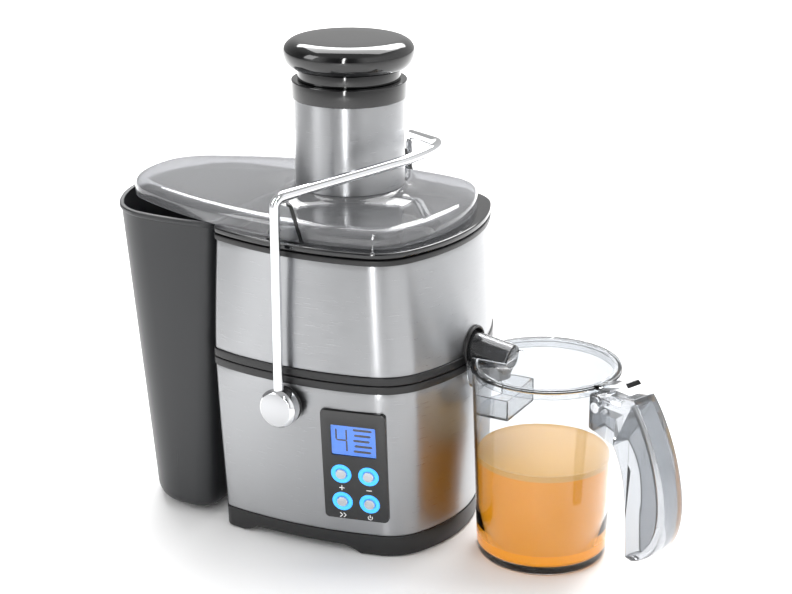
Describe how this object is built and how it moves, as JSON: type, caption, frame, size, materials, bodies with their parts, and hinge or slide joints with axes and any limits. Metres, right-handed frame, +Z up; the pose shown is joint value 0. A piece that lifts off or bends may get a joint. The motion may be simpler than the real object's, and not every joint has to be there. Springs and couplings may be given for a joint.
{
  "type": "centrifugal juicer",
  "caption": "Steel-jacketed centrifugal juicer with a wide feed chute and pusher, swing-over locking bail, side pulp bin, control panel and a lidded juice jug.",
  "frame": {"origin": "centre of the whole juicer's bounding box, on the table plane", "axes": "+Z up; -Y the front, which the control panel faces; +X towards the spout and jug, -X towards the pulp bin"},
  "size_m": [0.4858, 0.227, 0.387],
  "materials": {
    "black_plastic": "satin black ABS",
    "bin_plastic": "matte charcoal ABS",
    "gloss_black": "gloss black ABS",
    "grey_plastic": "satin dark grey ABS",
    "white_plastic": "off-white nylon",
    "rubber": "matte black rubber",
    "brushed_steel": "horizontally brushed stainless steel",
    "sieve_steel": "stamped stainless steel",
    "chrome": "polished chrome",
    "aluminium": "die-cast aluminium",
    "iron": "laminated electrical steel",
    "copper": "enamelled copper winding",
    "smoke": "smoke-tinted clear SAN",
    "clear": "clear SAN with a grey tint",
    "lcd_glass": "clear display window",
    "lcd_blue": "blue backlit display",
    "light_blue": "blue translucent light ring",
    "button_silver": "satin silver",
    "pcb": "green solder mask",
    "switch_amber": "amber nylon"
  },
  "bodies": {
    "housing": {"base_tray": "black_plastic", "rubber_feet": "rubber", "lower_jacket": "brushed_steel", "seam_trim_lower": "black_plastic", "seam_trim_upper": "black_plastic", "upper_jacket": "brushed_steel", "motor_deck": "black_plastic", "panel_bezel": "gloss_black", "lcd_window": "lcd_glass", "lcd_module": "lcd_blue", "button_light_rings": "light_blue", "tact_switches": "black_plastic", "control_board": "pcb", "motor_frame": "aluminium", "motor_stator": "iron", "motor_bearings": "chrome", "brush_holders": "copper", "rubber_mounts": "rubber", "shaft_seal": "rubber", "safety_switch": "switch_amber", "cord_gland": "black_plastic", "housing_screws": "chrome", "pivot_bosses": "black_plastic", "pivot_pins": "chrome", "juice_bowl": "black_plastic", "bowl_rim": "grey_plastic", "lid_seal": "rubber", "spout_collar": "black_plastic", "spout": "smoke", "lid_cover": "smoke", "chute_skirt": "smoke", "bail_catches": "clear", "chute_tube": "smoke", "chute_sleeve": "brushed_steel", "chute_collar": "gloss_black"},
    "rotor": {"armature": "iron", "commutator": "copper", "motor_shaft": "chrome", "cooling_fan": "white_plastic", "drive_coupling": "black_plastic"},
    "basket": {"basket_hub": "white_plastic", "grater_disc": "sieve_steel", "filter_cone": "sieve_steel", "basket_rim": "white_plastic"},
    "bail": {"bail": "chrome", "pivot_knobs": "brushed_steel"},
    "pusher": {"pusher_body": "black_plastic", "pusher_cap": "gloss_black"},
    "pulp_bin": {"pulp_bin": "bin_plastic"},
    "jug": {"jug_cup": "clear", "jug_handle": "clear", "handle_rivet": "chrome", "froth_separator": "clear"},
    "jug_lid": {"jug_lid": "clear"},
    "button_plus": {"button_plus": "button_silver"},
    "button_minus": {"button_minus": "button_silver"},
    "button_turbo": {"button_turbo": "button_silver"},
    "button_power": {"button_power": "button_silver"}
  },
  "joints": [
    {"name": "rotor_spin", "type": "hinge", "parent": "housing", "child": "rotor", "pos_m": [-0.04945, 0, 0.1], "axis": [0, 0, 1], "continuous": true},
    {"name": "basket_spin", "type": "hinge", "parent": "housing", "child": "basket", "pos_m": [-0.04945, 0, 0.19], "axis": [0, 0, 1], "continuous": true},
    {"name": "bail_swing", "type": "hinge", "parent": "housing", "child": "bail", "pos_m": [-0.05244, 0, 0.125], "axis": [0, 1, 0], "range_deg": [0, 45]},
    {"name": "pusher_lift", "type": "slide", "parent": "housing", "child": "pusher", "axis": [0, 0, 1], "range_m": [0, 0.165]},
    {"name": "pulp_bin_slide", "type": "slide", "parent": "housing", "child": "pulp_bin", "axis": [-1, 0, 0], "range_m": [0, 0.12]},
    {"name": "jug_slide", "type": "slide", "parent": "housing", "child": "jug", "axis": [1, 0, 0], "range_m": [0, 0.1]},
    {"name": "jug_lid_lift", "type": "slide", "parent": "jug", "child": "jug_lid", "axis": [0, 0, 1], "range_m": [0, 0.03]},
    {"name": "plus_press", "type": "slide", "parent": "housing", "child": "button_plus", "axis": [-0.2064, 0.971, 0.1204], "range_m": [0, 0.0008], "stiffness_N_per_m": 600, "springref_m": -0.0004},
    {"name": "minus_press", "type": "slide", "parent": "housing", "child": "button_minus", "axis": [-0.2064, 0.971, 0.1204], "range_m": [0, 0.0008], "stiffness_N_per_m": 600, "springref_m": -0.0004},
    {"name": "turbo_press", "type": "slide", "parent": "housing", "child": "button_turbo", "axis": [-0.2064, 0.971, 0.1204], "range_m": [0, 0.0008], "stiffness_N_per_m": 600, "springref_m": -0.0004},
    {"name": "power_press", "type": "slide", "parent": "housing", "child": "button_power", "axis": [-0.2064, 0.971, 0.1204], "range_m": [0, 0.0008], "stiffness_N_per_m": 600, "springref_m": -0.0004}
  ],
  "couplings": [
    {"joint": "basket_spin", "follows": "rotor_spin", "ratio": 1}
  ]
}
